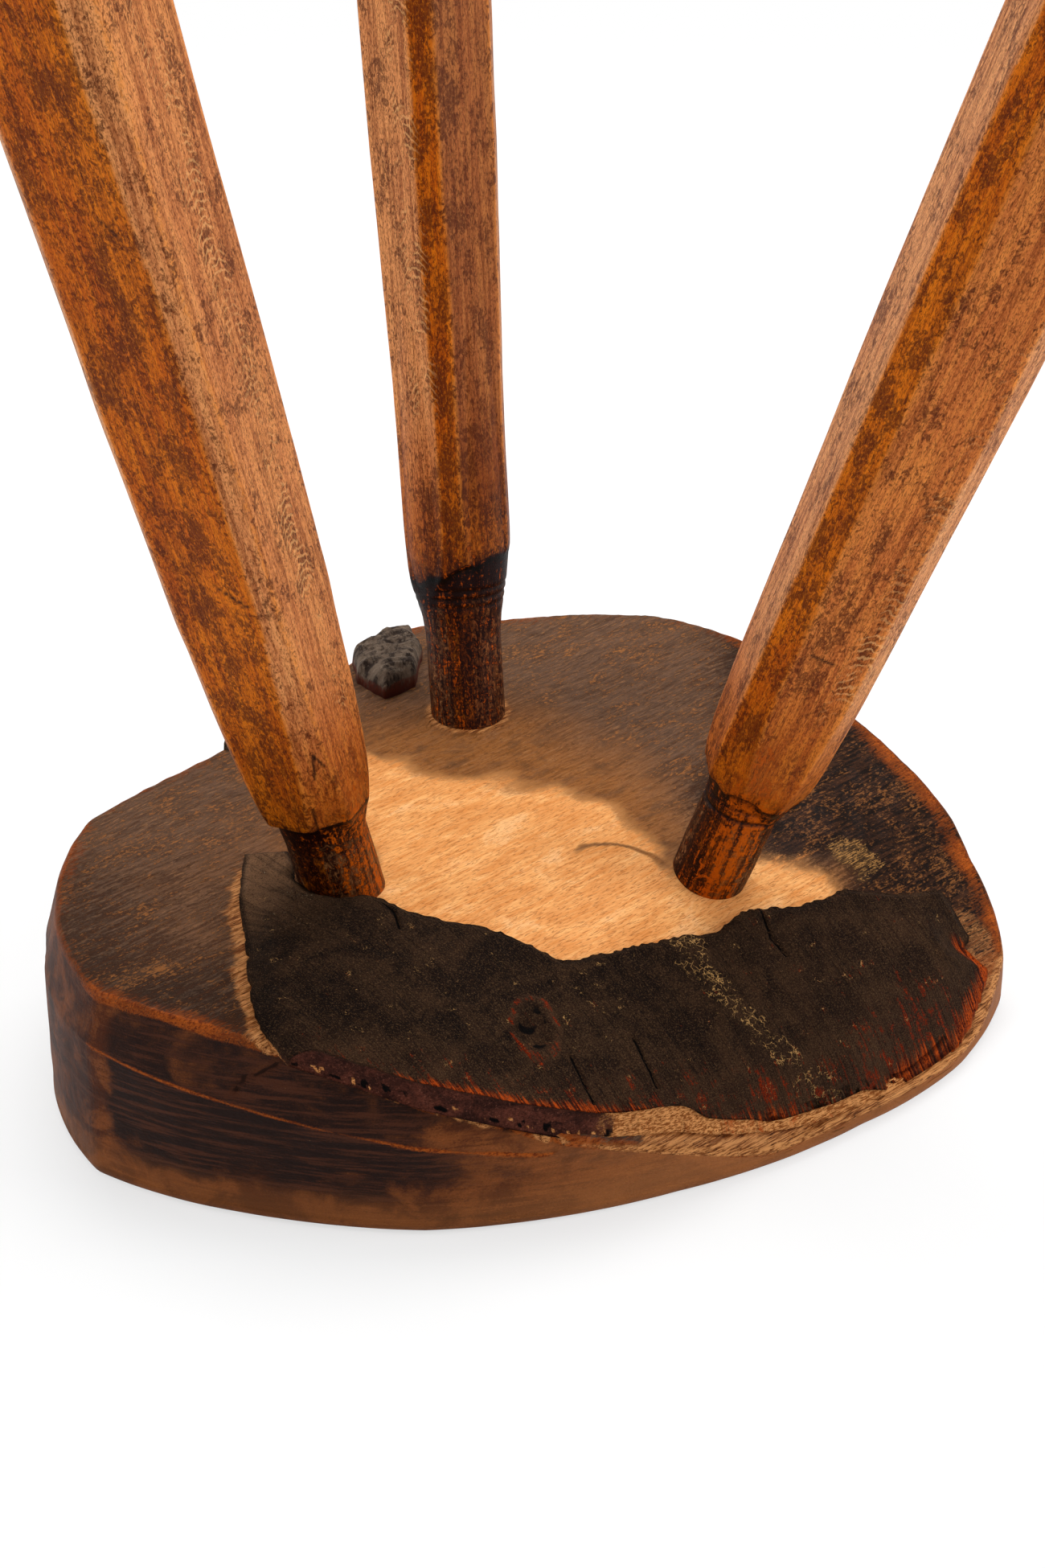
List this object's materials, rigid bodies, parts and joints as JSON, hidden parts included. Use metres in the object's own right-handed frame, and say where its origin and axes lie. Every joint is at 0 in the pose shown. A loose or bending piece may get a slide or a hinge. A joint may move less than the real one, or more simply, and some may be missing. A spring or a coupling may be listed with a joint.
{
  "type": "three-legged wooden stool",
  "caption": "Rustic stool, stored upside down on its sitting face: a log slab with a bark-covered wane and splayed eight-sided legs driven through it.",
  "frame": {"origin": "on the sitting face, at the middle of the circle on which the three leg axes meet the underside", "axes": "+Z away from the sitting face, towards the feet: the stool is stored upside down, standing on its sitting face, and is turned by 180 degrees about X for use. -Y is the front, where the bark is, and +X is right"},
  "size_m": [0.394, 0.3546, 0.45],
  "materials": {
    "seat_wood": "worn beech, pale where rubbed and nearly black where handled",
    "leg_wood": "polished by hands, honey to red-brown",
    "wedge_wood": "plain split wood",
    "bark": "near-black bark, burnished on the front plate"
  },
  "bodies": {
    "root": {"seat_slab": "seat_wood", "leg_left": "leg_wood", "leg_back": "leg_wood", "leg_right": "leg_wood", "wedge_left": "wedge_wood", "wedge_back": "wedge_wood", "wedge_right": "wedge_wood", "bark_plate": "bark", "bark_chunk": "bark", "bark_nub": "bark"}
  },
  "joints": []
}
